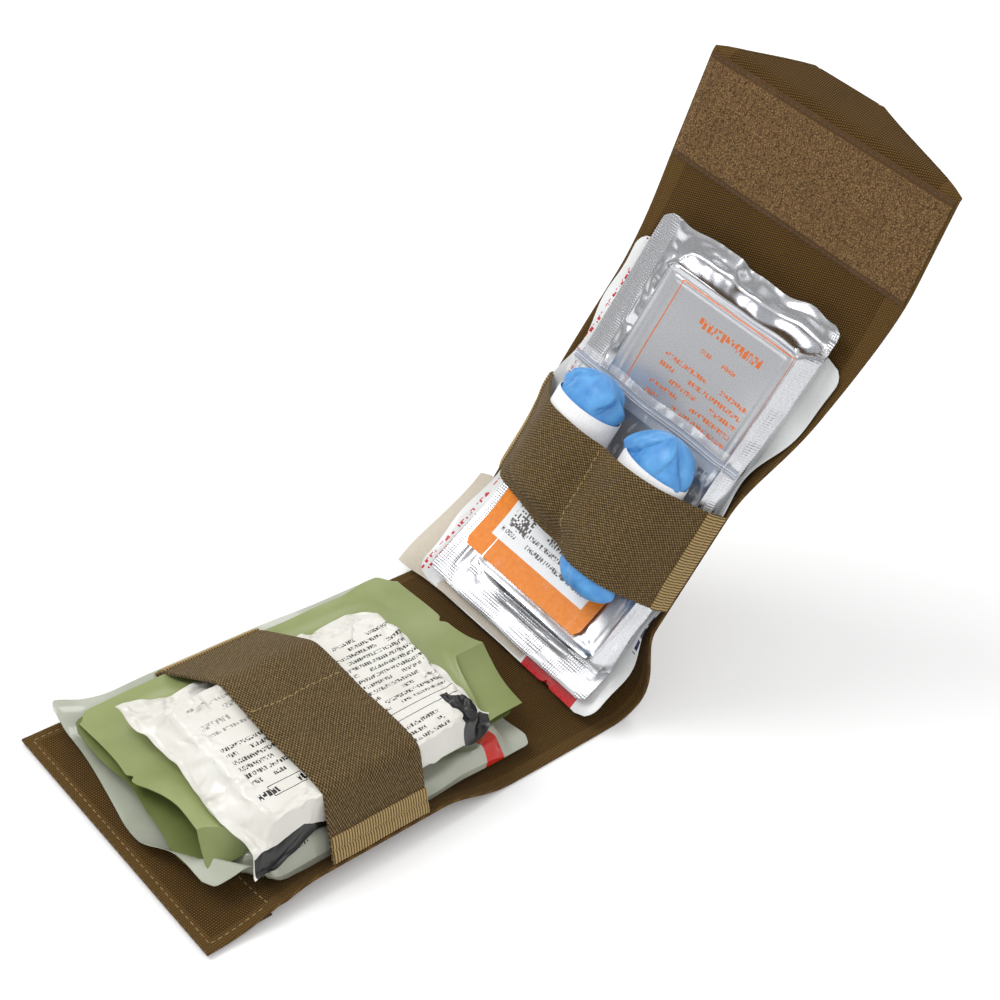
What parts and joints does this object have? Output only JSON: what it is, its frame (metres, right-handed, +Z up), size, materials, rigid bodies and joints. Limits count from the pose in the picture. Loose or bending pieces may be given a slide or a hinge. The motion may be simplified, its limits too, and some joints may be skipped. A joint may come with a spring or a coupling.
{
  "type": "tri-fold first aid kit insert",
  "caption": "Opened tri-fold trauma kit insert: brown fabric carrier with elastic bands holding sealed dressings, a foil pouch and rolled gloves, and a loop-field closure flap.",
  "frame": {"origin": "middle of the footprint of the whole kit, on the floor", "axes": "+X from the free end of the outer panel towards the raised closure panel, +Y across the carrier, +Z up"},
  "size_m": [0.3426, 0.125, 0.2704],
  "materials": {
    "laminate": "coyote brown woven laminate, fine dotted weave",
    "elastic": "ribbed woven elastic, tan brown",
    "binding": "ribbed tan binding tape",
    "loop_pile": "fuzzy loop pile",
    "hook_tape": "moulded hook tape",
    "grey_film": "glossy grey-green pouch film",
    "green_film": "satin sage green pouch film",
    "white_film": "satin white pouch film",
    "foil": "crinkled silver foil film",
    "clear_film": "clear polythene film",
    "leaflet_paper": "uncoated beige card",
    "white_paper": "plain white paper",
    "label_card": "orange and white printed card, no readable text",
    "cotton_fill": "folded cotton gauze",
    "nitrile": "blue nitrile glove film",
    "hydrogel": "translucent adhesive seal"
  },
  "bodies": {
    "panel_a_body": {"panel_a": "laminate", "hook_strip": "hook_tape", "elastic_band_a": "elastic", "band_a_binding_near": "binding", "band_a_binding_far": "binding"},
    "bandage_pack": {"bandage_pouch_back": "grey_film", "bandage_pouch_front": "grey_film", "bandage_core": "cotton_fill"},
    "dressing_pack": {"dressing_pouch_back": "green_film", "dressing_pouch_front": "green_film", "dressing_core": "cotton_fill"},
    "gauze_pack": {"gauze_pack_back": "white_film", "gauze_pack_front": "white_film", "gauze_core": "cotton_fill"},
    "spine_body": {"spine": "laminate"},
    "panel_b_body": {"panel_b": "laminate", "elastic_band_b": "elastic", "band_b_binding_near": "binding", "band_b_binding_far": "binding", "leaflet": "leaflet_paper", "chest_seal_pouch_back": "white_film", "chest_seal_pouch_front": "white_film", "chest_seal_lower": "hydrogel", "chest_seal_upper": "hydrogel", "foil_pouch_back": "foil", "foil_pouch_front": "foil", "foil_pouch_dressing": "cotton_fill", "zip_bag_back": "clear_film", "zip_bag_front": "clear_film", "zip_bag_zip": "clear_film", "label_card": "label_card"},
    "glove_pack_left": {"glove_roll_left": "nitrile", "glove_sleeve_left": "white_paper"},
    "glove_pack_right": {"glove_roll_right": "nitrile", "glove_sleeve_right": "white_paper"},
    "panel_c_body": {"panel_c": "laminate", "loop_panel": "loop_pile"},
    "end_flap_body": {"end_flap": "laminate"}
  },
  "joints": [
    {"name": "fold_a_spine", "type": "hinge", "parent": "panel_a_body", "child": "spine_body", "pos_m": [0.01866, 0, 0], "axis": [0, 1, 0], "range_deg": [-60, 0]},
    {"name": "fold_spine_b", "type": "hinge", "parent": "spine_body", "child": "panel_b_body", "pos_m": [0.06866, 0, 0], "axis": [0, 1, 0], "range_deg": [-6, 67]},
    {"name": "fold_b_c", "type": "hinge", "parent": "panel_b_body", "child": "panel_c_body", "pos_m": [0.14915, 0, 0.18962], "axis": [0, 1, 0], "range_deg": [-74, 16]},
    {"name": "fold_c_flap", "type": "hinge", "parent": "panel_c_body", "child": "end_flap_body", "pos_m": [0.1572, 0, 0.25513], "axis": [0, 1, 0], "range_deg": [-128, 52]},
    {"name": "gauze_slide", "type": "slide", "parent": "panel_a_body", "child": "gauze_pack", "axis": [-1, 0, 0], "range_m": [0, 0.1]},
    {"name": "dressing_slide", "type": "slide", "parent": "panel_a_body", "child": "dressing_pack", "axis": [-1, 0, 0], "range_m": [0, 0.13]},
    {"name": "bandage_slide", "type": "slide", "parent": "panel_a_body", "child": "bandage_pack", "axis": [-1, 0, 0], "range_m": [0, 0.125]},
    {"name": "glove_left_slide", "type": "slide", "parent": "panel_b_body", "child": "glove_pack_left", "axis": [0.3907, 0, 0.9205], "range_m": [0, 0.07]},
    {"name": "glove_right_slide", "type": "slide", "parent": "panel_b_body", "child": "glove_pack_right", "axis": [0.3907, 0, 0.9205], "range_m": [0, 0.08]}
  ]
}
